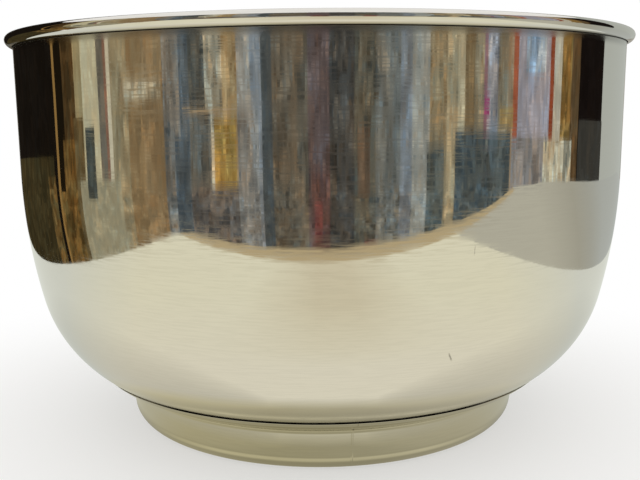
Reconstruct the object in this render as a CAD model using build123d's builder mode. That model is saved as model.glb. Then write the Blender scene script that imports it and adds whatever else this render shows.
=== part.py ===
from build123d import *
from math import acos, atan2, cos, degrees, radians, sin, sqrt, tan
import os

# Stand mixer bowl: a deep-drawn stainless bowl shell with a rolled rim, standing on a pressed foot ring.
# Both pieces are bodies of revolution about Z. The foot's underside is the plane Z = 0.
# Sections are drawn in the XZ plane as radius and height. A tilt is an angle from the vertical, in degrees.

# Bowl shell
sheet = 0.8             # drawn sheet thickness
rim_diameter = 235.0    # over the rolled bead
total_height = 147.0    # table to the top of the bead
bead_width = 3.5        # radial width of the rolled bead, wall included
bead_height = 4.2       # height of the rolled bead
bead_end_gap = 0.3      # gap left between the end of the roll and the wall
draft = 0.45            # tilt of the upper wall
shoulder_radius = 206.0 # large arc between the wall and the lower curve, outside
shoulder_tilt = 13.5    # tilt where the large arc hands over to the lower curve
curve_radius = 50.0     # lower curve, outside
floor_clearance = 13.5  # table to the underside of the floor

# Foot ring
foot_sheet = 0.8        # pressed strip thickness
flange_tilt = 56.0      # tilt of the lower curve where the flange's edge shows
foot_setout = 16.5      # wall's outer face outside the edge of the flat floor, at foot_gauge
foot_gauge = 8.5        # height at which foot_setout is measured
foot_draft = 6.0        # tilt of the foot's wall, wider at the top
flange_fillet = 2.5     # hollow corner between wall and flange
foot_round = 7.5        # outer rounding at the bottom
lip_width = 3.0         # flat of the inturned lip


def polar(centre, radius, angle):
    """Point at an angle in degrees on a circle in the section plane."""
    return (centre[0] + radius * cos(radians(angle)), centre[1] + radius * sin(radians(angle)))


# Derived points of the bowl's section. The roll is an oval: two arcs of one radius joined by a short straight.
roll = bead_width / 2
hollow = roll - sheet
roll_r = rim_diameter / 2 - roll
roll_top = total_height - roll
roll_low = total_height - bead_height + roll
wall_out = polar((roll_r, roll_top), hollow, 180 - draft)
wall_in = polar((roll_r, roll_top), roll, 180 - draft)
# The roll stops where its outer corner is bead_end_gap away from the wall's outer face.
roll_end = degrees(acos((roll_r - (wall_out[0] + bead_end_gap)) / roll))
roll_sweep = 180 - roll_end

# Height at which the straight wall ends follows from the two arcs and the floor's height.
wall_foot_z = (floor_clearance + shoulder_radius * (sin(radians(shoulder_tilt)) - sin(radians(draft)))
               + curve_radius * (1 - sin(radians(shoulder_tilt))))
wall_foot_r = wall_out[0] - (wall_out[1] - wall_foot_z) * tan(radians(draft))
shoulder_c = (wall_foot_r - shoulder_radius * cos(radians(draft)),
              wall_foot_z + shoulder_radius * sin(radians(draft)))
curve_c = polar(shoulder_c, shoulder_radius - curve_radius, -shoulder_tilt)

with BuildPart() as bowl:
    with BuildSketch(Plane.XZ) as bowl_section:
        with BuildLine():
            floor_out = Line((0, floor_clearance), (curve_c[0], floor_clearance))
            CenterArc(curve_c, curve_radius, -90, 90 - shoulder_tilt)
            shoulder_out = CenterArc(shoulder_c, shoulder_radius, -shoulder_tilt, shoulder_tilt - draft)
            Line(shoulder_out @ 1, wall_out)
            # hollow of the roll, from the wall over the top and down to the end of the roll
            hollow_top = CenterArc((roll_r, roll_top), hollow, 180 - draft, draft - 180)
            hollow_low = CenterArc((roll_r, roll_low), hollow, 0, -roll_sweep)
            Line(hollow_top @ 1, hollow_low @ 0)
            # outside of the roll, back up and over to the wall's inner face
            face_low = CenterArc((roll_r, roll_low), roll, -roll_sweep, roll_sweep)
            face_top = CenterArc((roll_r, roll_top), roll, 0, 180 - draft)
            Line(hollow_low @ 1, face_low @ 0)
            Line(face_low @ 1, face_top @ 0)
            # inner face, down to the floor
            shoulder_in = CenterArc(shoulder_c, shoulder_radius - sheet, -draft, draft - shoulder_tilt)
            curve_in = CenterArc(curve_c, curve_radius - sheet, -shoulder_tilt, shoulder_tilt - 90)
            Line(wall_in, shoulder_in @ 0)
            floor_in = Line(curve_in @ 1, (0, floor_clearance + sheet))
            Line(floor_in @ 1, floor_out @ 0)
        make_face()
    revolve(axis=Axis.Z)

# Derived points of the foot's section. The flange lies on the lower curve, so it shares that curve's centre.
flange_radius = curve_radius + foot_sheet
normal = (cos(radians(foot_draft)), -sin(radians(foot_draft)))
along = (sin(radians(foot_draft)), cos(radians(foot_draft)))
# The hollow fillet touches the wall's line and the flange's outer face.
reach = flange_fillet + foot_setout * normal[0] + (foot_gauge - curve_c[1]) * normal[1]
drop = sqrt((flange_radius + flange_fillet) ** 2 - reach ** 2)
fillet_c = (curve_c[0] + reach * normal[0] - drop * along[0],
            curve_c[1] + reach * normal[1] - drop * along[1])
flange_start = degrees(atan2(fillet_c[1] - curve_c[1], fillet_c[0] - curve_c[0]))
fillet_sweep = (180 - foot_draft) - (flange_start + 180)
# Centre of the bottom rounding, on the inner side of the wall's line and foot_round above the table.
round_touch = foot_round * (1 - sin(radians(foot_draft)))
round_c = (curve_c[0] + foot_setout + (round_touch - foot_gauge) * tan(radians(foot_draft))
           - foot_round * normal[0], foot_round)
lip_r = round_c[0] - lip_width

with BuildPart() as foot_ring:
    with BuildSketch(Plane.XZ) as foot_section:
        with BuildLine():
            # outer face, from the flange's edge down to the lip
            flange_out = CenterArc(curve_c, flange_radius, -flange_tilt, flange_start + flange_tilt)
            fillet_out = CenterArc(fillet_c, flange_fillet, flange_start + 180, fillet_sweep)
            round_out = CenterArc(round_c, foot_round, -foot_draft, foot_draft - 90)
            Line(fillet_out @ 1, round_out @ 0)
            lip_under = Line(round_out @ 1, (lip_r, 0))
            lip_edge = Line(lip_under @ 1, (lip_r, foot_sheet))
            # inner face, back up to the flange
            round_in = CenterArc(round_c, foot_round - foot_sheet, -90, 90 - foot_draft)
            Line(lip_edge @ 1, round_in @ 0)
            fillet_in = CenterArc(fillet_c, flange_fillet + foot_sheet, 180 - foot_draft, -fillet_sweep)
            Line(round_in @ 1, fillet_in @ 0)
            flange_in = CenterArc(curve_c, curve_radius, flange_start, -flange_tilt - flange_start)
            Line(flange_in @ 1, flange_out @ 0)
        make_face()
    revolve(axis=Axis.Z)

bowl.part.label = "bowl"
foot_ring.part.label = "foot_ring"

os.makedirs("parts", exist_ok=True)
export_step(bowl.part, "parts/bowl.step")
export_step(foot_ring.part, "parts/foot_ring.step")
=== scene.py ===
import math

import bpy
import numpy as np
from mathutils import Matrix


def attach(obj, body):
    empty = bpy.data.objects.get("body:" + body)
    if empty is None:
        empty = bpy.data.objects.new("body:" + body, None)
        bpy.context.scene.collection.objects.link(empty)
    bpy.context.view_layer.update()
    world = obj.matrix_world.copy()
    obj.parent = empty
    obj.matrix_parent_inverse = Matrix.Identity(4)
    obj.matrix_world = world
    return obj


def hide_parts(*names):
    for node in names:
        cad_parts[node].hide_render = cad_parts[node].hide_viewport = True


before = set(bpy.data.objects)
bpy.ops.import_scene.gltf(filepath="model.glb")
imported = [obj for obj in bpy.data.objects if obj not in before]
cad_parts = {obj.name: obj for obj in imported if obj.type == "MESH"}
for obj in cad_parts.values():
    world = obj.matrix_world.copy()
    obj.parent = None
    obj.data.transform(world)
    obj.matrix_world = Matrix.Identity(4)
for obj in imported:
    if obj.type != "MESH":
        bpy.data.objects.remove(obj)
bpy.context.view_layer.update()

# Bowl: one disc of 0.8 mm stainless steel, deep drawn into a floor, a tight lower curve, a long
# shoulder and an upright wall. Its edge is curled outwards into a hollow bead, and the skin is
# polished round and round on a lathe, which leaves fine circles in a near mirror.
MM = 0.001
SHEET = 0.8
RIM_RADIUS = 117.5
HEIGHT = 146.995        # a hair less than the drawing's 147, whose own mesh stops there
BEAD_WIDTH = 3.5
BEAD_END_GAP = 0.3
CURL_TURN = 20.0        # below the horizontal the curl goes on with a larger radius, as its stiff end does
CURL_RADIUS = 2.75
DRAFT = 0.45
SHOULDER_RADIUS = 206.0
SHOULDER_TILT = 13.5
CURVE_RADIUS = 50.0
FLOOR_HEIGHT = 13.5
CUT_ROUNDING = 0.2      # the worn corners of a cut edge of the sheet
TURN_STEPS = 320


def line(start, end, count):
    """Straight run of the section: start plus an even share of the way to end. Each row is radius,
    height and the unit normal on the right of the run's direction."""
    share = np.linspace(0, 1, count)[:, None]
    points = np.array(start) + share * (np.array(end) - np.array(start))
    along = (np.array(end) - np.array(start)) / math.dist(start, end)
    return np.column_stack((points, np.full(count, along[1]), np.full(count, -along[0])))


def arc(centre, radius, first, last, count):
    """Arc of the section: centre plus radius times the cosine and sine of an angle that runs evenly
    from first to last degrees. The normal is the radial direction, turned to the right of the run."""
    angle = np.radians(np.linspace(first, last, count))
    out = np.column_stack((np.cos(angle), np.sin(angle)))
    return np.column_stack((np.array(centre) + radius * out, out * (1 if last > first else -1)))


def corner(start, tip, end, count):
    """Rounded corner of a cut edge: the parabola from start to end that is tangent to the lines from
    both to the tip, which is (1-t)^2 start + 2t(1-t) tip + t^2 end."""
    t = np.linspace(0, 1, count)[:, None]
    start, tip, end = (np.array(p, float) for p in (start, tip, end))
    points = (1 - t) ** 2 * start + 2 * t * (1 - t) * tip + t ** 2 * end
    along = (1 - t) * (tip - start) + t * (end - tip)
    along /= np.linalg.norm(along, axis=1)[:, None]
    return np.column_stack((points, along[:, 1], -along[:, 0]))


def polar(centre, radius, angle):
    """Point of a circle in the section plane, at an angle in degrees."""
    return (centre[0] + radius * math.cos(math.radians(angle)),
            centre[1] + radius * math.sin(math.radians(angle)))


def joined(*runs):
    """The runs one after the other as one section, each shared end point kept once."""
    rows = np.concatenate(runs)
    step = np.linalg.norm(np.diff(rows[:, :2], axis=0), axis=1)
    return rows[np.concatenate(([True], step > 1e-6))]


def placed(name, data):
    """New object at the origin of the scene, with its place in its mesh. Returns it."""
    made = bpy.data.objects.new(name, data)
    bpy.context.scene.collection.objects.link(made)
    return made


def turned(name, section, closed):
    """Surface of revolution. A section point (radius, height) turned by angle a, counted from the
    front (-Y) towards +X, is (radius sin a, -radius cos a, height), and its normal turns with it.
    The turn starts and ends at the back. Returns the object. Its UV map holds the share of the turn
    and the length along the section in metres."""
    radius, height = section[:, 0] * MM, section[:, 1] * MM
    turns = np.linspace(0, 2 * math.pi, TURN_STEPS + 1)[:-1] + math.pi

    def swept(out, up):
        """Radial and upright parts of the section's rows, carried round the axis."""
        up = np.broadcast_to(up[:, None], (len(section), TURN_STEPS))
        return np.dstack((out[:, None] * np.sin(turns), -out[:, None] * np.cos(turns), up))

    # a row on the axis is one point, which its whole turn shares
    on_axis = radius < 1e-7
    kept = ~on_axis[:, None] | (np.arange(TURN_STEPS) == 0)
    places = swept(radius, height)[kept]
    normals = swept(section[:, 2], section[:, 3])[kept]
    first = np.concatenate(([0], np.cumsum(kept.sum(1))[:-1]))
    index = first[:, None] + np.where(on_axis[:, None], 0, np.arange(TURN_STEPS))
    points = np.column_stack((radius, height))
    if closed:
        index = np.vstack((index, index[:1]))
        points = np.vstack((points, points[:1]))
        on_axis = np.append(on_axis, on_axis[0])
    index = np.hstack((index, index[:, :1]))
    along = np.concatenate(([0], np.cumsum(np.linalg.norm(np.diff(points, axis=0), axis=1))))
    share = np.append(turns - turns[0], 2 * math.pi) / (2 * math.pi)
    chart = np.dstack((np.broadcast_to(share, index.shape), np.broadcast_to(along[:, None], index.shape)))

    def squares(grid):
        """The grid's values at the four corners of each of its squares, in order round the square."""
        return np.stack((grid[:-1, :-1], grid[:-1, 1:], grid[1:, 1:], grid[1:, :-1]), 2)

    corners, charted = squares(index), squares(chart)
    faces, uvs = [], []
    for rows, used in ((~on_axis[:-1] & ~on_axis[1:], (0, 1, 2, 3)),
                       (on_axis[:-1], (0, 2, 3)), (on_axis[1:], (0, 1, 2))):
        faces += corners[rows][:, :, used].reshape(-1, len(used)).tolist()
        uvs.append(charted[rows][:, :, used].reshape(-1, 2))
    mesh = bpy.data.meshes.new(name)
    mesh.from_pydata(places.tolist(), [], faces)
    uv_map = mesh.uv_layers.new(name="round_and_along")
    uv_map.data.foreach_set("uv", np.concatenate(uvs).astype(np.float32).ravel())
    mesh.polygons.foreach_set("use_smooth", np.ones(len(faces), bool))
    mesh.normals_split_custom_set_from_vertices(normals / np.linalg.norm(normals, axis=1)[:, None])
    mesh.update()
    return placed(name, mesh)


roll = BEAD_WIDTH / 2
hollow = roll - SHEET
roll_c = (RIM_RADIUS - roll, HEIGHT - roll)
wall_out = polar(roll_c, hollow, 180 - DRAFT)
wall_in = polar(roll_c, roll, 180 - DRAFT)
curl_c = polar(roll_c, CURL_RADIUS - roll, 180 - CURL_TURN)
curl_hollow = CURL_RADIUS - SHEET
curl_end = -math.degrees(math.acos((wall_out[0] + BEAD_END_GAP - curl_c[0]) / CURL_RADIUS))
wall_foot_z = (FLOOR_HEIGHT + CURVE_RADIUS * (1 - math.sin(math.radians(SHOULDER_TILT)))
               + SHOULDER_RADIUS * (math.sin(math.radians(SHOULDER_TILT)) - math.sin(math.radians(DRAFT))))
wall_foot_r = wall_out[0] - (wall_out[1] - wall_foot_z) * math.tan(math.radians(DRAFT))
shoulder_c = polar((wall_foot_r, wall_foot_z), SHOULDER_RADIUS, 180 - DRAFT)
curve_c = polar(shoulder_c, SHOULDER_RADIUS - CURVE_RADIUS, -SHOULDER_TILT)
inner_curve = CURVE_RADIUS - SHEET

# The curl ends in a cut edge that stands clear of the wall, with worn corners. The last number of
# each run is how many points it has.
turn_in = math.degrees(CUT_ROUNDING / curl_hollow)
turn_out = math.degrees(CUT_ROUNDING / CURL_RADIUS)
tip_in = polar(curl_c, curl_hollow, curl_end)
tip_out = polar(curl_c, CURL_RADIUS, curl_end)
face_in = polar(curl_c, curl_hollow + CUT_ROUNDING, curl_end)
face_out = polar(curl_c, CURL_RADIUS - CUT_ROUNDING, curl_end)
bowl_section = joined(
    line((0, FLOOR_HEIGHT), (curve_c[0], FLOOR_HEIGHT), 7),
    arc(curve_c, CURVE_RADIUS, -90, -SHOULDER_TILT, 62),
    arc(shoulder_c, SHOULDER_RADIUS, -SHOULDER_TILT, -DRAFT, 28),
    line((wall_foot_r, wall_foot_z), wall_out, 14),
    arc(roll_c, hollow, 180 - DRAFT, -CURL_TURN, 18),
    arc(curl_c, curl_hollow, -CURL_TURN, curl_end + turn_in, 10),
    corner(polar(curl_c, curl_hollow, curl_end + turn_in), tip_in, face_in, 3),
    line(face_in, face_out, 2),
    corner(face_out, tip_out, polar(curl_c, CURL_RADIUS, curl_end + turn_out), 4),
    arc(curl_c, CURL_RADIUS, curl_end + turn_out, -CURL_TURN, 22),
    arc(roll_c, roll, -CURL_TURN, 180 - DRAFT, 38),
    line(wall_in, polar(shoulder_c, SHOULDER_RADIUS - SHEET, -DRAFT), 12),
    arc(shoulder_c, SHOULDER_RADIUS - SHEET, -DRAFT, -SHOULDER_TILT, 22),
    arc(curve_c, inner_curve, -SHOULDER_TILT, -90, 46),
    line((curve_c[0], FLOOR_HEIGHT + SHEET), (0, FLOOR_HEIGHT + SHEET), 7))
bowl = turned("bowl_shell", bowl_section, False)


def srgb(code):
    """Linear colour of a six digit sRGB hex code: each channel c over 12.92 below 0.04045, and
    otherwise ((c + 0.055) / 1.055) to the power 2.4."""
    part = np.array([int(code[i:i + 2], 16) / 255 for i in (0, 2, 4)])
    return (*np.where(part < 0.04045, part / 12.92, ((part + 0.055) / 1.055) ** 2.4), 1.0)


def unpainted(name):
    """New material with an empty node tree. Returns the material and the tree."""
    made = bpy.data.materials.new(name)
    made.use_nodes = True
    made.node_tree.nodes.clear()
    return made, made.node_tree


def node(tree, kind, inputs=(), **settings):
    """Adds a shader node of a kind to the tree, with its settings by name, and returns its outputs. The
    inputs come in the node's own order, or in a dict by number or name. Each is a value, or an output
    of another node, which is linked to it."""
    made = tree.nodes.new("ShaderNode" + kind)
    for key, value in settings.items():
        setattr(made, key, value)
    for key, value in inputs.items() if isinstance(inputs, dict) else enumerate(inputs):
        if isinstance(value, bpy.types.NodeSocket):
            tree.links.new(value, made.inputs[key])
        else:
            made.inputs[key].default_value = value
    return made.outputs


def length_to(section, place):
    """Length in metres along the section, from its start to its point nearest to a place in the plane:
    the place is projected on each straight between two rows, and the nearest projection counts."""
    start, step = section[:-1, :2], np.diff(section[:, :2], axis=0)
    size = np.linalg.norm(step, axis=1)
    share = np.clip(((np.array(place) - start) * step).sum(1) / size ** 2, 0, 1)
    nearest = np.argmin(np.linalg.norm(start + share[:, None] * step - np.array(place), axis=1))
    return float(size[:nearest].sum() + share[nearest] * size[nearest]) * MM


def band(tree, value, middle, half, soft):
    """1 where the value is within half of the middle, falling smoothly to 0 over the soft width."""
    off = node(tree, "Math", (value, middle), operation="SUBTRACT")[0]
    off = node(tree, "Math", (off,), operation="ABSOLUTE")[0]
    return node(tree, "MapRange", (off, half, half + soft, 1.0, 0.0), interpolation_type="SMOOTHSTEP")[0]


# The steel's roughness starts from a mirror's, and each mark adds its own share to it.
MIRROR = 0.018
IN_CIRCLES = 0.067
IN_SCRATCHES = 0.02
IN_HAZE = 0.012
WHERE_DULL = 0.14
WHERE_SATIN = 0.22
WHERE_WORN = 0.5        # the whole roughness in the painted shadow line, the shaded crevices and the scuffs

# Depths, heights and widths in metres
CIRCLES_DEPTH = 0.0000013
WAVES_DEPTH = 0.00004
WELD_HEIGHT = 0.00015
SATIN_START = 0.003     # over which the polish gives way to satin
GAP_HALF = 0.0003       # half the painted black shadow line at the flange's edge, and how soft it ends
GAP_SOFT = 0.0001
WELD_HALF = 0.0002      # shares of the turn: 0.1 mm, and soft for another 0.35 mm
WELD_SOFT = 0.0007
SIDE_WORK = 0.3         # how deep the marks are at the two sides and inside, as a share of the front's
STRETCH = 0.8           # how far a reflection is drawn out
QUARTER_TURN = 0.25     # turns the drawing out across the circles
SHADOW_AND_RESIDUE = "140f08"      # nearly black: painted shadow and shade at the flange, under the curl and in the shaded bands, with polishing paste and grime there and in the scuffs and circles


def lathe_polished_steel(name, colour, gap, crevices=(), dull_and_shaded_bands=(), scuffs=(), weld=None, satin=None):
    """Stainless steel polished on a lathe: a mirror with fine circles round the axis. They blur a
    reflection along the section and leave it sharp round the bowl, so that it falls into upright bands.
    Lengths are metres along the section. Crevices are (middle, half width, soft edge), where their shade
    is painted nearly black, with some polishing residue. The gap is one too, between flange and bowl: a
    painted black shadow line there, full in front and behind and fading out at the two sides, by the cosine
    of twice the azimuth. Dull, shaded bands are (middle, half width, soft edge, strength): the polishing
    wheel doesn't reach them, which leaves them rougher, and painted shade darkens them. A scuff is (share
    of the turn, length, radius there, lean in degrees, half its long side, half its short side). The weld
    is the share of the turn where the hoop's ends meet. Beyond the satin length the wheel doesn't go in at
    all: the steel has an even satin finish there."""
    made, tree = unpainted(name)
    place = node(tree, "TexCoord")["Object"]
    flat = node(tree, "SeparateXYZ", (place,))
    chart = node(tree, "SeparateXYZ", (node(tree, "UVMap", uv_map="round_and_along")["UV"],))
    turn, length = chart["X"], chart["Y"]

    def combed(across, along, detail):
        """Noise drawn out round the axis: so many waves a metre across the circles and along them."""
        drawn_out = node(tree, "CombineXYZ", [
            node(tree, "Math", (way, density), operation="MULTIPLY")[0]
            for way, density in ((flat["X"], along), (flat["Y"], along), (length, across))])[0]
        return node(tree, "TexNoise", {"Vector": drawn_out, "Scale": 1.0, "Detail": detail,
                                       "Roughness": 0.6})["Fac"]

    # the grit's circles are some 0.02 mm apart. To show, they are drawn 0.6 mm apart and 9 mm long, and
    # the deeper scratches among them 1.7 mm apart and 70 mm long. A noise lies about 0.5, and a mark sets
    # in at the first of its two thresholds and is whole at the second
    circles = combed(across=1700.0, along=110.0, detail=2.0)
    scratches = combed(across=600.0, along=14.0, detail=5.0)
    # the sheet is not quite round after drawing: waves some 30 mm long, under 0.04 mm deep
    waves = node(tree, "TexNoise", {"Vector": place, "Scale": 34.0, "Detail": 1.5, "Roughness": 0.45})["Fac"]
    # handling and wiping leave hazy patches a few centimetres wide
    haze = node(tree, "TexNoise", {"Vector": place, "Scale": 16.0, "Detail": 4.0, "Roughness": 0.6})["Fac"]
    hazy = node(tree, "MapRange", (haze, 0.40, 0.62, 0.0, 1.0))[0]
    # the wheel bore harder in front and behind than at the two sides, by the cosine of twice the azimuth
    both_ways = node(tree, "Math", (turn, 4 * math.pi), operation="MULTIPLY")[0]
    both_ways = node(tree, "Math", (both_ways,), operation="COSINE")[0]
    worked = node(tree, "MapRange", (both_ways, 0.0, 0.6, SIDE_WORK, 1.0))[0]
    inside = 0.0
    if satin is not None:
        inside = node(tree, "MapRange", (length, satin, satin + SATIN_START, 0.0, 1.0))[0]
        evened = node(tree, "Math", (inside, SIDE_WORK - 1.0, 1.0), operation="MULTIPLY_ADD")[0]
        worked = node(tree, "Math", (worked, evened), operation="MINIMUM")[0]

    # rougher bands, which painted shade also darkens
    dull_and_shaded = 0.0
    for middle, half, soft, strength in dull_and_shaded_bands:
        found = band(tree, length, middle, half, soft)
        dull_and_shaded = node(tree, "Math", (found, strength, dull_and_shaded), operation="MULTIPLY_ADD")[0]
    rough = node(tree, "Math", (node(tree, "MapRange", (circles, 0.44, 0.60, 0.0, IN_CIRCLES))[0],
                                node(tree, "MapRange", (scratches, 0.55, 0.85, 0.0, IN_SCRATCHES))[0]),
                 operation="ADD")[0]
    rough = node(tree, "Math", (rough, worked, MIRROR), operation="MULTIPLY_ADD")[0]
    for mark, blur in ((hazy, IN_HAZE), (dull_and_shaded, WHERE_DULL), (inside, WHERE_SATIN)):
        rough = node(tree, "Math", (mark, blur, rough), operation="MULTIPLY_ADD")[0]

    # the circles are deepest where haze and wheel come together
    depth = node(tree, "MapRange", (haze, 0.40, 0.62, 0.25, 1.0))[0]
    for share in (worked, circles):
        depth = node(tree, "Math", (depth, share), operation="MULTIPLY")[0]
    raised = [(waves, WAVES_DEPTH), (depth, CIRCLES_DEPTH)]
    if weld is not None:
        raised.append((band(tree, turn, weld, WELD_HALF, WELD_SOFT), WELD_HEIGHT))
    skin = {}
    for relief, metres in raised:
        bumped = {"Strength": 1.0, "Distance": metres, "Height": relief, **skin}
        skin = {"Normal": node(tree, "Bump", bumped)[0]}

    # painted black shadow line at the flange, full in front and behind and fading out at the sides; then the
    # crevices' painted shade and residue
    shadow_and_residue = node(tree, "MapRange", (both_ways, -0.08, 0.42, 0.0, 1.0))[0]
    shadow_and_residue = node(tree, "Math", (band(tree, length, *gap), shadow_and_residue), operation="MULTIPLY")[0]
    for middle, half, soft in crevices:
        shadow_and_residue = node(tree, "Math", (shadow_and_residue, band(tree, length, middle, half, soft)), operation="MAXIMUM")[0]
    scuffed = 0.0
    for share, middle, radius, lean, long_half, short_half in scuffs:
        right = node(tree, "Math", (turn, share), operation="SUBTRACT")[0]
        right = node(tree, "Math", (right, 2 * math.pi * radius), operation="MULTIPLY")[0]
        up = node(tree, "Math", (length, middle), operation="SUBTRACT")[0]
        found = 1.0
        for half, turned_by in ((long_half, lean), (short_half, lean + 90)):
            sine, cosine = math.sin(math.radians(turned_by)), math.cos(math.radians(turned_by))
            way = node(tree, "Math", (right, sine), operation="MULTIPLY")[0]
            way = node(tree, "Math", (up, cosine, way), operation="MULTIPLY_ADD")[0]
            found = node(tree, "Math", (found, band(tree, way, 0.0, half / 2, half)), operation="MULTIPLY")[0]
        scuffed = node(tree, "Math", (scuffed, found), operation="MAXIMUM")[0]

    dark = node(tree, "MapRange", (circles, 0.42, 0.62, 0.0, 0.035))[0]
    dark = node(tree, "Math", (dark, worked), operation="MULTIPLY")[0]
    # darker towards the near-black colour: painted shadow and shade in full, the shaded bands' painted shade
    # at 0.4, scuffs' grime at 0.25, and a little in the circles
    for mark, strength in ((shadow_and_residue, 1.0), (dull_and_shaded, 0.4), (scuffed, 0.25)):
        mark = node(tree, "Math", (mark, strength), operation="MULTIPLY")[0]
        dark = node(tree, "Math", (dark, mark), operation="MAXIMUM")[0]
    tint = node(tree, "Mix", {0: dark, 6: srgb(colour), 7: srgb(SHADOW_AND_RESIDUE)}, data_type="RGBA")[2]
    # rough where the painted shadow and shade lie, and in the scuffs
    shadow_residue_and_wear = node(tree, "Math", (shadow_and_residue, scuffed), operation="MAXIMUM")[0]
    rough = node(tree, "Mix", {0: shadow_residue_and_wear, 2: rough, 3: WHERE_WORN})[0]
    around = node(tree, "Tangent", direction_type="UV_MAP", uv_map="round_and_along")[0]
    steel = node(tree, "BsdfPrincipled", {
        "Base Color": tint, "Metallic": 1.0, "Roughness": rough, "Anisotropic": STRETCH,
        "Anisotropic Rotation": QUARTER_TURN, "Tangent": around, **skin})[0]
    node(tree, "OutputMaterial", {"Surface": steel})
    return made


FLANGE_TILT = 56.0
foot_seam = length_to(bowl_section, polar(curve_c, CURVE_RADIUS, -FLANGE_TILT))
under_bead = length_to(bowl_section, (wall_out[0], polar(curl_c, CURL_RADIUS, -90)[1]))


def scuff(azimuth, height, lean, long_half, short_half):
    """Scuff of the bowl at degrees from the front towards +X and a height, its half sizes in millimetres."""
    outside = bowl_section[bowl_section[:, 1] < wall_out[1] - 0.001]
    outside = outside[:np.argmax(outside[:, 1]) + 1]
    radius = np.interp(height, outside[:, 1], outside[:, 0])
    share = (azimuth + 180) / 360
    return share, length_to(outside, (radius, height)), radius * MM, lean, long_half * MM, short_half * MM


# Stainless steel is a warm light grey. The bowl's is bright, with a painted black shadow line where the
# foot's flange meets it, painted shade and some polishing residue in the crevice under the curl, and two
# rougher bands, where the wheel misses the wall under the bead and where it lifts off above the flange,
# which painted shade darkens. Two scuffs are in front, and the two behind are guessed.
bowl.data.materials.append(lathe_polished_steel(
    "lathe_polished_stainless", "e2dfd8",
    # a painted black shadow line where the foot's flange edge meets the bowl
    gap=(foot_seam, GAP_HALF, GAP_SOFT),
    # painted shade, with some polishing residue, in the crevice under the curl
    crevices=((under_bead + 0.001, 0.0011, 0.00035),),
    # rougher bands darkened by painted shade: under the bead, with some residue, and above the flange
    dull_and_shaded_bands=((under_bead, 0.0005, 0.0025, 1.0), (foot_seam + 0.003, 0.004, 0.007, 0.55)),
    scuffs=(scuff(20.8, 47.1, -28.0, 1.5, 0.28), scuff(22.9, 80.0, 3.0, 1.2, 0.08),
            scuff(148.0, 88.0, 35.0, 1.8, 0.2), scuff(-120.0, 60.0, -40.0, 1.2, 0.2)),
    satin=length_to(bowl_section, wall_in)))
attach(bowl, "root")
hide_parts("bowl")

# Foot ring: a strip of 0.8 mm stainless steel, butt welded into a hoop and pressed to shape. Its
# flange is spot welded to the bowl's lower curve, and its rounded lower edge turns in to a lip.
FOOT_SHEET = 0.8
FLANGE_EDGE = 0.5       # the strip is planished thinner towards the flange's edge
FLANGE_THINNING = 3.5   # degrees of the curve over which it thins
FOOT_SETOUT = 16.5
FOOT_GAUGE = 8.5
FOOT_DRAFT = 6.0
FLANGE_FILLET = 2.5
FOOT_ROUND = 7.5
LIP_WIDTH = 3.0
WELD_AZIMUTH = 7.2      # degrees from the front towards +X

flange_radius = CURVE_RADIUS + FOOT_SHEET
out_of_wall = (math.cos(math.radians(FOOT_DRAFT)), -math.sin(math.radians(FOOT_DRAFT)))
up_wall = (math.sin(math.radians(FOOT_DRAFT)), math.cos(math.radians(FOOT_DRAFT)))
reach = FLANGE_FILLET + FOOT_SETOUT * out_of_wall[0] + (FOOT_GAUGE - curve_c[1]) * out_of_wall[1]
drop = math.sqrt((flange_radius + FLANGE_FILLET) ** 2 - reach ** 2)
fillet_c = (curve_c[0] + reach * out_of_wall[0] - drop * up_wall[0],
            curve_c[1] + reach * out_of_wall[1] - drop * up_wall[1])
flange_start = math.degrees(math.atan2(fillet_c[1] - curve_c[1], fillet_c[0] - curve_c[0]))
round_touch = FOOT_ROUND * (1 - math.sin(math.radians(FOOT_DRAFT)))
round_c = (curve_c[0] + FOOT_SETOUT + (round_touch - FOOT_GAUGE) * math.tan(math.radians(FOOT_DRAFT))
           - FOOT_ROUND * out_of_wall[0], FOOT_ROUND)
inner_round = FOOT_ROUND - FOOT_SHEET
inner_fillet = FLANGE_FILLET + FOOT_SHEET
lip_r = round_c[0] - LIP_WIDTH
lip_corner = lip_r + CUT_ROUNDING
flange_end = -FLANGE_TILT - math.degrees(FLANGE_EDGE / 2 / CURVE_RADIUS)
edge_c = polar(curve_c, CURVE_RADIUS + FLANGE_EDGE / 2, flange_end)


def thinned(centre, first_radius, last_radius, first, last, count):
    """Arc whose radius eases from one value to another: first plus 3t^2 - 2t^3 times the difference. Its
    normal is the radial direction, leaned back by the radius's own slope along the arc."""
    t = np.linspace(0, 1, count)
    angle = np.radians(first + t * (last - first))
    radius = first_radius + (3 * t ** 2 - 2 * t ** 3) * (last_radius - first_radius)
    slope = 6 * t * (1 - t) * (last_radius - first_radius) / math.radians(last - first) / radius
    out = np.column_stack((np.cos(angle), np.sin(angle)))
    across = np.column_stack((-out[:, 1], out[:, 0]))
    normal = out - slope[:, None] * across
    normal /= np.linalg.norm(normal, axis=1)[:, None]
    return np.column_stack((np.array(centre) + radius[:, None] * out, normal))


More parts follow.
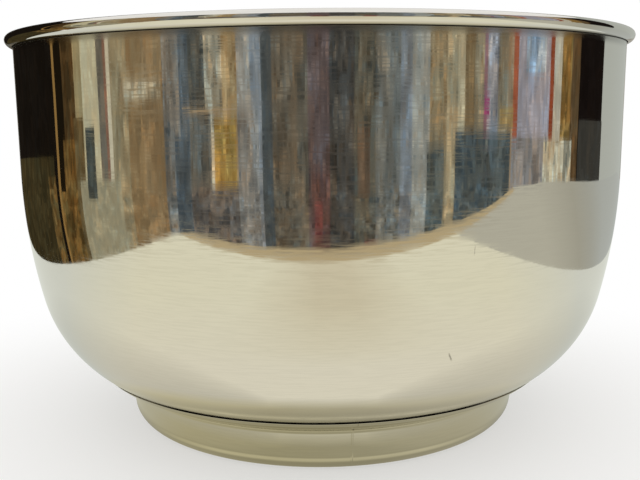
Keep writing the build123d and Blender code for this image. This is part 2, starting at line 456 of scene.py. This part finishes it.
foot_section = joined(
    line((lip_corner, 0), (round_c[0], 0), 3),
    arc(round_c, FOOT_ROUND, -90, -FOOT_DRAFT, 26),
    line(polar(round_c, FOOT_ROUND, -FOOT_DRAFT), polar(fillet_c, FLANGE_FILLET, 180 - FOOT_DRAFT), 5),
    arc(fillet_c, FLANGE_FILLET, 180 - FOOT_DRAFT, flange_start + 180, 16),
    arc(curve_c, flange_radius, flange_start, flange_end - FLANGE_THINNING, 8),
    thinned(curve_c, flange_radius, CURVE_RADIUS + FLANGE_EDGE, flange_end - FLANGE_THINNING, flange_end, 10),
    arc(edge_c, FLANGE_EDGE / 2, flange_end, flange_end + 180, 14),
    arc(curve_c, CURVE_RADIUS, flange_end, flange_start, 12),
    arc(fillet_c, inner_fillet, flange_start + 180, 180 - FOOT_DRAFT, 14),
    line(polar(fillet_c, inner_fillet, 180 - FOOT_DRAFT), polar(round_c, inner_round, -FOOT_DRAFT), 5),
    arc(round_c, inner_round, -FOOT_DRAFT, -90, 18),
    line((round_c[0], FOOT_SHEET), (lip_corner, FOOT_SHEET), 3),
    corner((lip_corner, FOOT_SHEET), (lip_r, FOOT_SHEET), (lip_r, FOOT_SHEET - CUT_ROUNDING), 5),
    line((lip_r, FOOT_SHEET - CUT_ROUNDING), (lip_r, CUT_ROUNDING), 3),
    corner((lip_r, CUT_ROUNDING), (lip_r, 0), (lip_corner, 0), 5))[:-1]
foot = turned("foot_ring_shell", foot_section, True)
edge_middle = length_to(foot_section, polar(edge_c, FLANGE_EDGE / 2, flange_end + 140))
# The strip is a darker, yellower stainless steel than the bowl's, polished in the same way. A painted
# black shadow line lies on its flange's cut edge, where it meets the bowl.
foot.data.materials.append(lathe_polished_steel(
    "pressed_polished_stainless", "ccc9bc",
    # a painted black shadow line on the flange's cut edge, where it meets the bowl
    gap=(edge_middle, GAP_HALF, GAP_SOFT),
    weld=(WELD_AZIMUTH + 180) / 360))
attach(foot, "root")
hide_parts("foot_ring")

# Studio floor: a plain pale table top under the bowl. It is white to the camera, and it keeps the
# bowl's shadow near the foot. It fades to the backdrop's white before its edges.
LEFT_END = (-0.33, 1.0)
FRONT_EDGE = ((-0.30, -0.305), (-0.272, -0.333), (0.0, -0.350),
              (0.265, -0.361), (0.55, -0.363), (0.90, -0.398))
RIGHT_EDGE = ((1.076, -0.21), (1.13, -0.016), (0.985, 0.497), (0.87, 1.0))
SHADOW_FULL = 0.10      # metres from the axis to where the shadow starts to fade, and to where it has gone
SHADOW_GONE = 0.25


def flat_piece(name, outline, height):
    """Flat polygon at one height, from its corners in metres."""
    mesh = bpy.data.meshes.new(name)
    corners = np.column_stack((outline, np.full(len(outline), height)))
    mesh.from_pydata(corners.tolist(), [], [list(range(len(outline)))])
    made = placed(name, mesh)
    return made


floor = flat_piece("studio_floor", (LEFT_END, *FRONT_EDGE, *RIGHT_EDGE), 0.0)
# matt white paper, which takes a soft shadow and has no shine
paper, tree = unpainted("white_table_paper")
away = node(tree, "VectorMath", (node(tree, "TexCoord")["Object"],), operation="LENGTH")["Value"]
fade = node(tree, "MapRange", (away, SHADOW_FULL, SHADOW_GONE, 0.5, 1.0), interpolation_type="SMOOTHSTEP")[0]
rays = node(tree, "LightPath")
seen = rays["Is Camera Ray"]
for kind in ("Is Glossy Ray", "Is Transmission Ray"):
    seen = node(tree, "Math", (seen, rays[kind]), operation="ADD", use_clamp=True)[0]
share = node(tree, "Math", (seen, fade), operation="MULTIPLY")[0]
matt = node(tree, "BsdfDiffuse", {"Color": srgb("f6f5f2")})[0]
white = node(tree, "Emission", {"Color": srgb("ffffff"), "Strength": 1.0})[0]
node(tree, "OutputMaterial", {"Surface": node(tree, "MixShader", (share, matt, white))[0]})
floor.data.materials.append(paper)

# Studio cards: sheets of cream, tan and grey paper on the table, which the steel mirrors in its lower
# half. They are no lamps, but glow with their colour and painted light and shade instead of being lit.
# Only reflections see them, so the table stays white to the camera.
CARD_HEIGHT = 0.0003
CREAM_END = (0.27, -0.308)
GREY_END = (0.85, -0.36)
BACK_END = (0.30, 1.0)


def unseen(piece):
    """Leaves a studio piece to reflections only: it hides from the camera, soft light and shadows."""
    piece.visible_camera = False
    piece.visible_diffuse = False
    piece.visible_shadow = False
    piece.visible_transmission = False


def card(name, outline, lay):
    """Paper card on the table, seen only in the steel. It glows with the colour and the painted light that
    lay(tree) gives it, instead of being lit.
    """
    piece = flat_piece(name, outline, CARD_HEIGHT)
    made, tree = unpainted("painted_light_" + name)
    colour, light = lay(tree)
    glow = node(tree, "Emission", {"Color": colour, "Strength": light})[0]
    node(tree, "OutputMaterial", {"Surface": glow})
    made.cycles.emission_sampling = "NONE"
    piece.data.materials.append(made)
    unseen(piece)


def cream_paper(tree):
    """Cream paper that glows with painted light and shade, as if lit from the front and above, by the
    distance from the bowl's axis in metres and the azimuth from the front in radians. Under the bowl's
    overhang the painted light falls to 0.57 in front and 0.73 at the sides. It is full again 0.10 m out in
    front and 0.24 m out at the side. Close to the foot it falls once more, and a painted bright ring, the
    light the foot throws on the paper, fades towards the sides. A painted shadow makes it browner straight
    in front; it is greyer at the sides, and olive in the painted shade near the foot."""
    spot = node(tree, "TexCoord")["Object"]
    flat = node(tree, "SeparateXYZ", (spot,))
    away = node(tree, "VectorMath", (spot,), operation="LENGTH")["Value"]
    side = node(tree, "Math", (flat["X"],), operation="ABSOLUTE")[0]
    front = node(tree, "Math", (flat["Y"], -1.0), operation="MULTIPLY")[0]
    azimuth = node(tree, "Math", (side, front), operation="ARCTAN2")[0]

    # painted shade of the bowl's overhang, and more painted shade close to the foot
    shade_start = node(tree, "MapRange", (azimuth, 0.15, 0.55, 0.0905, 0.083))[0]
    shade_end = node(tree, "MapRange", (azimuth, 0.24, 1.75, 0.102, 0.240))[0]
    dim = node(tree, "MapRange", (azimuth, 0.25, 1.2, 0.57, 0.73))[0]
    light = node(tree, "MapRange", (away, shade_start, shade_end, dim, 1.0))[0]
    dimmest = node(tree, "MapRange", (azimuth, 0.6, 1.2, 0.78, 0.55))[0]
    close = node(tree, "MapRange", (away, 0.073, 0.0835, dimmest, 1.0))[0]
    light = node(tree, "Math", (light, close), operation="MULTIPLY")[0]
    # a painted bright ring: the light the foot throws on the paper, fading towards the sides
    thrown = node(tree, "MapRange", (azimuth, 0.5, 1.1, 0.30, 0.0))[0]
    ring = band(tree, away, 0.0781, 0.0006, 0.0022)
    light = node(tree, "Math", (ring, thrown, light), operation="MULTIPLY_ADD")[0]

    far = node(tree, "MapRange", (away, 0.13, 0.24, 0.0, 1.0))[0]
    # a painted shadow straight in front, from 0.135 m out, makes the paper browner there
    middle = node(tree, "Math", (flat["X"], 0.015), operation="SUBTRACT")[0]
    middle = node(tree, "Math", (middle,), operation="ABSOLUTE")[0]
    painted_front_shadow = node(tree, "Math", (node(tree, "MapRange", (middle, 0.02, 0.095, 1.0, 0.0))[0],
                                node(tree, "MapRange", (front, 0.135, 0.215, 0.0, 1.0))[0]),
                 operation="MULTIPLY")[0]
    sideways = node(tree, "MapRange", (azimuth, 0.95, 1.65, 0.0, 1.0))[0]
    # olive tint of the painted shade near the foot, weaker towards +X and at the sides
    near = node(tree, "MapRange", (away, 0.090, 0.100, 1.0, 0.0))[0]
    for share in (node(tree, "MapRange", (flat["X"], -0.02, 0.07, 1.0, 0.4))[0],
                  node(tree, "MapRange", (azimuth, 0.8, 1.2, 1.0, 0.45))[0]):
        near = node(tree, "Math", (near, share), operation="MULTIPLY")[0]
    colour = srgb("eeead8")
    for share, paint in ((far, "eeebd3"), (painted_front_shadow, "dfd7bd"), (sideways, "dfe2d9"), (near, "eee6c1")):
        colour = node(tree, "Mix", {0: share, 6: colour, 7: srgb(paint)}, data_type="RGBA")[2]
    return colour, light


def tan_paper(tree):
    """Plain tan paper along the table's front edge, in full light."""
    return srgb("c2b18c"), 1.0


def grey_paper(tree):
    """Grey paper on the right. Seen from the bowl its light falls from 0.95 to 0.76 between 76 and 95
    degrees from the front, in the dark board's shade, and its colour turns from warm to cool behind that."""
    flat = node(tree, "SeparateXYZ", (node(tree, "TexCoord")["Object"],))
    front = node(tree, "Math", (flat["Y"], -1.0), operation="MULTIPLY")[0]
    azimuth = node(tree, "Math", (flat["X"], front), operation="ARCTAN2")[0]
    falling, rising, cool = (
        node(tree, "MapRange", (azimuth, math.radians(low), math.radians(high), least, most))[0]
        for low, high, least, most in ((76.0, 95.0, 0.95, 0.76), (105.0, 118.0, 0.0, 0.06),
                                       (95.0, 117.0, 0.0, 1.0)))
    light = node(tree, "Math", (falling, rising), operation="ADD")[0]
    colour = node(tree, "Mix", {0: cool, 6: srgb("c6c4b5"), 7: srgb("c6cac5")}, data_type="RGBA")[2]
    return colour, light


card("cream_card", (LEFT_END, FRONT_EDGE[0], CREAM_END, BACK_END), cream_paper)
card("tan_card", (*FRONT_EDGE, GREY_END, CREAM_END), tan_paper)
card("grey_card", (CREAM_END, GREY_END, FRONT_EDGE[-1], *RIGHT_EDGE, BACK_END), grey_paper)

# Studio boards: tall painted boards round the table, which give the steel something to mirror. Each
# is a slice of a wide cylinder. Its paint is plain or busy: broken up into blocks and upright streaks.
TALL_FOOT = -0.7        # metres above the table
TALL_TOP = 1.3
TALL_DISTANCE = 1.7
LOW_DISTANCE = 1.65     # the low boards stand in front, each 2 mm nearer than the one before
LOW_STEP = 0.002
BOARD_LIGHT = 1.1
TALL_BOARDS = (   # where each starts, in degrees from the front towards +X, its paint, and how busy it is
    (-180, "8d8a80", 0.5), (-165, "5a564c", 0.6), (-150, "17130f", 0.3), (-105, "8d6f40", 0.1),
    (-103.5, "1a150d", 0.2), (-99, "463620", 0.8), (-92, "968a68", 0.3), (-88, "bdb698", 0.3),
    (-80, "6a655a", 0.4), (-77, "80604f", 0.3), (-75.8, "c6bea6", 0.2), (-74.2, "93876b", 0.6),
    (-67, "857051", 0.4), (-61, "877254", 0.5), (-53, "75736d", 0.9), (-47, "555d62", 0.8),
    (-43.5, "50524e", 0.8), (-38, "a69f8b", 1.0), (-32, "988462", 0.8), (-27, "8c8c87", 0.7),
    (-22.5, "7d8286", 0.6), (-19, "4b5051", 0.5), (-15.5, "625b4f", 0.8), (-4, "605350", 0.8),
    (3, "4b4945", 0.9), (11, "5c5b52", 0.9), (18, "686a66", 0.9), (26, "757b80", 0.7),
    (30, "8f938f", 0.6), (36, "857a62", 0.8), (42, "a0957a", 0.8), (46, "ada489", 0.6),
    (48.5, "7d6c50", 0.7), (52, "897f69", 0.8), (55.5, "7d646a", 0.5), (56.8, "8c8e94", 0.9),
    (61, "8b8370", 0.9), (65, "948068", 0.7), (67, "9c5a42", 0.4), (69, "98959d", 0.5),
    (83.5, "84432c", 0.4), (85.5, "b4af9e", 0.4), (89.5, "82683c", 0.9), (95, "5c4a33", 0.6),
    (100, "171210", 0.3), (117, "b1b5af", 0.0), (150, "9d9b93", 0.3), (170, "8d8a80", 0.5),
    (180, "8d8a80", 0.5))
LOW_BOARDS = (    # from and to in degrees, lower and upper edge in metres, paint, busy
    (-150, -107, -0.7, 0.02, "39321f", 0.5), (-112, -106.5, -0.7, -0.02, "5a4a2c", 0.9),
    (-103.5, -100, -0.7, -0.07, "6a5530", 0.9), (-100, -92, -0.7, 0.05, "604a28", 0.9),
    (-93, -88, -0.7, 0.09, "635438", 0.6), (-91, -71, -0.7, -0.03, "97927a", 0.3),
    (-87, -82.5, -0.10, 0.07, "454a46", 0.5), (-70, -53.5, 0.12, 0.155, "a89c82", 0.8),
    (-49, -44, -0.7, 0.05, "4c555b", 0.6), (-46, -27, 0.09, 0.10, "a18e72", 0.3),
    (-43.5, -36, -0.7, 0.09, "64645e", 0.9), (-35, -27.5, -0.09, 0.08, "9c8148", 0.8),
    (-43.5, -27, -0.7, -0.05, "645e58", 0.8), (-27, -20, -0.7, 0.10, "7c7a75", 0.7),
    (-3, 3, -0.7, -0.02, "5f4a46", 0.8), (-2, 0.5, -0.36, -0.12, "754845", 0.7),
    (12, 16, -0.1, 0.06, "6f5f4f", 0.8), (14.5, 19, -0.7, -0.36, "86494c", 0.4),
    (35, 41, -0.7, 0.03, "545b59", 0.8), (45, 66, -0.7, 0.055, "50595b", 0.8),
    (55.5, 57.5, 0.08, 0.12, "93496f", 0.4), (61.5, 67, 0.06, 0.10, "a08a5e", 0.6),
    (72, 81, 0.165, 0.25, "a3b3c2", 0.9), (66.5, 83.5, -0.7, 0.045, "7f7b78", 0.6),
    (81, 96, -0.7, 0.04, "a8a18c", 0.9), (100, 117, -0.7, 0.08, "3b3a36", 0.2))
all_boards = [(low, high, TALL_FOOT, TALL_TOP, code, busy)
              for (low, code, busy), (high, _, _) in zip(TALL_BOARDS, TALL_BOARDS[1:])] + list(LOW_BOARDS)
places, charts, paints, faces = [], [], [], []
start = 0
for number, (first, last, low, high, code, busy) in enumerate(all_boards):
    # a point of a board is (distance sin a, -distance cos a, height), at azimuths a up to 4 degrees apart
    distance = TALL_DISTANCE if number < len(TALL_BOARDS) - 1 else LOW_DISTANCE - LOW_STEP * number
    degrees = np.repeat(np.linspace(first, last, 2 + int((last - first) / 4)), 2)
    height = np.tile((low, high), len(degrees) // 2)
    azimuth = np.radians(degrees)
    places.append(np.column_stack((distance * np.sin(azimuth), -distance * np.cos(azimuth), height)))
    charts.append(np.column_stack((degrees, height, np.zeros(len(degrees)))))
    paints.append(np.tile((*srgb(code)[:3], busy), (len(degrees), 1)))
    left = start + np.arange(0, len(degrees) - 2, 2)
    faces.append(np.column_stack((left, left + 1, left + 3, left + 2)))
    start += len(degrees)
mesh = bpy.data.meshes.new("studio_boards")
mesh.from_pydata(np.concatenate(places).tolist(), [], np.concatenate(faces).tolist())
for name, kind, field, values in (("paint", "FLOAT_COLOR", "color", paints),
                                  ("chart", "FLOAT_VECTOR", "vector", charts)):
    attribute = mesh.attributes.new(name, kind, "POINT")
    attribute.data.foreach_set(field, np.concatenate(values).astype(np.float32).ravel())
boards = placed("studio_boards", mesh)

# The paint's chart is degrees round the table and metres up. Blocks of two sizes lighten or darken it
# and turn it warmer or cooler, and streaks run up and down.
painted, tree = unpainted("painted_boards")
paint = node(tree, "Attribute", attribute_name="paint")
chart = node(tree, "Attribute", attribute_name="chart")["Vector"]
broken = paint["Color"]
for blocks, darkest, lightest in (((0.30, 14.0, 1.0), 0.55, 1.5), ((0.9, 36.0, 1.0), 0.6, 1.45)):
    spot = node(tree, "Mapping", {"Vector": chart, "Scale": blocks})[0]
    drawn = node(tree, "TexVoronoi", {"Vector": spot, "Scale": 1.0}, distance="CHEBYCHEV")["Color"]
    drawn = node(tree, "SeparateXYZ", (drawn,))
    level = node(tree, "MapRange", {"Value": drawn["X"], 3: darkest, 4: lightest})[0]
    shift = node(tree, "MapRange", {"Value": drawn["Y"], 3: -0.13, 4: 0.13})[0]
    warm = node(tree, "Math", (1.0, shift), operation="ADD")[0]
    cool = node(tree, "Math", (1.0, shift), operation="SUBTRACT")[0]
    hue = node(tree, "CombineXYZ", (warm, 1.0, cool))[0]
    broken = node(tree, "VectorMath", (broken, hue), operation="MULTIPLY")[0]
    broken = node(tree, "VectorMath", {0: broken, 3: level}, operation="SCALE")[0]
upright = node(tree, "Mapping", {"Vector": chart, "Scale": (1.6, 2.0, 1.0)})[0]
streaks = node(tree, "TexNoise", {"Vector": upright, "Scale": 1.0, "Detail": 4.0, "Roughness": 0.7})["Fac"]
streaks = node(tree, "MapRange", (streaks, 0.3, 0.7, 0.8, 1.25))[0]
broken = node(tree, "VectorMath", {0: broken, 3: streaks}, operation="SCALE")[0]
colour = node(tree, "Mix", {0: paint["Alpha"], 6: paint["Color"], 7: broken}, data_type="RGBA")[2]
# The boards are no lamps and are not lit: they glow with their paint at a fixed strength, so the room that
# the steel mirrors is painted light.
glow = node(tree, "Emission", {"Color": colour, "Strength": BOARD_LIGHT})[0]
node(tree, "OutputMaterial", {"Surface": glow})
painted.cycles.emission_sampling = "NONE"
boards.data.materials.append(painted)
unseen(boards)

# Studio light: an even white dome of strength 1, which is both the soft light and the backdrop. A
# colour renders about as it is written in it.
world = bpy.data.worlds.new("studio_white")
bpy.context.scene.world = world
world.use_nodes = True
world.node_tree.nodes["Background"].inputs["Color"].default_value = srgb("ffffff")
world.node_tree.nodes["Background"].inputs["Strength"].default_value = 1.0
bpy.context.scene.view_settings.view_transform = "Standard"

# Camera: the photograph's own view, close to the bowl, a little below its rim and looking slightly
# down. Its place, focal length and tilt come from a least squares fit to the bowl's circles.
PICTURE_WIDTH = 640     # pixels, and so are the focal length and the shift
FOCAL_LENGTH = 873.0
SHIFT = -1.4
STAND = (0, -0.3525, 0.1213)
LOOKING_DOWN = 8.69     # degrees
ROLL = -0.0086          # radians
camera = placed("camera", bpy.data.cameras.new("camera"))
camera.data.sensor_width = 36.0
camera.data.lens = FOCAL_LENGTH / PICTURE_WIDTH * camera.data.sensor_width
camera.data.shift_x = SHIFT / PICTURE_WIDTH
camera.data.clip_start = 0.01
camera.matrix_world = (Matrix.Translation(STAND) @ Matrix.Rotation(math.radians(90 - LOOKING_DOWN), 4, "X")
                       @ Matrix.Rotation(ROLL, 4, "Z"))
bpy.context.scene.camera = camera
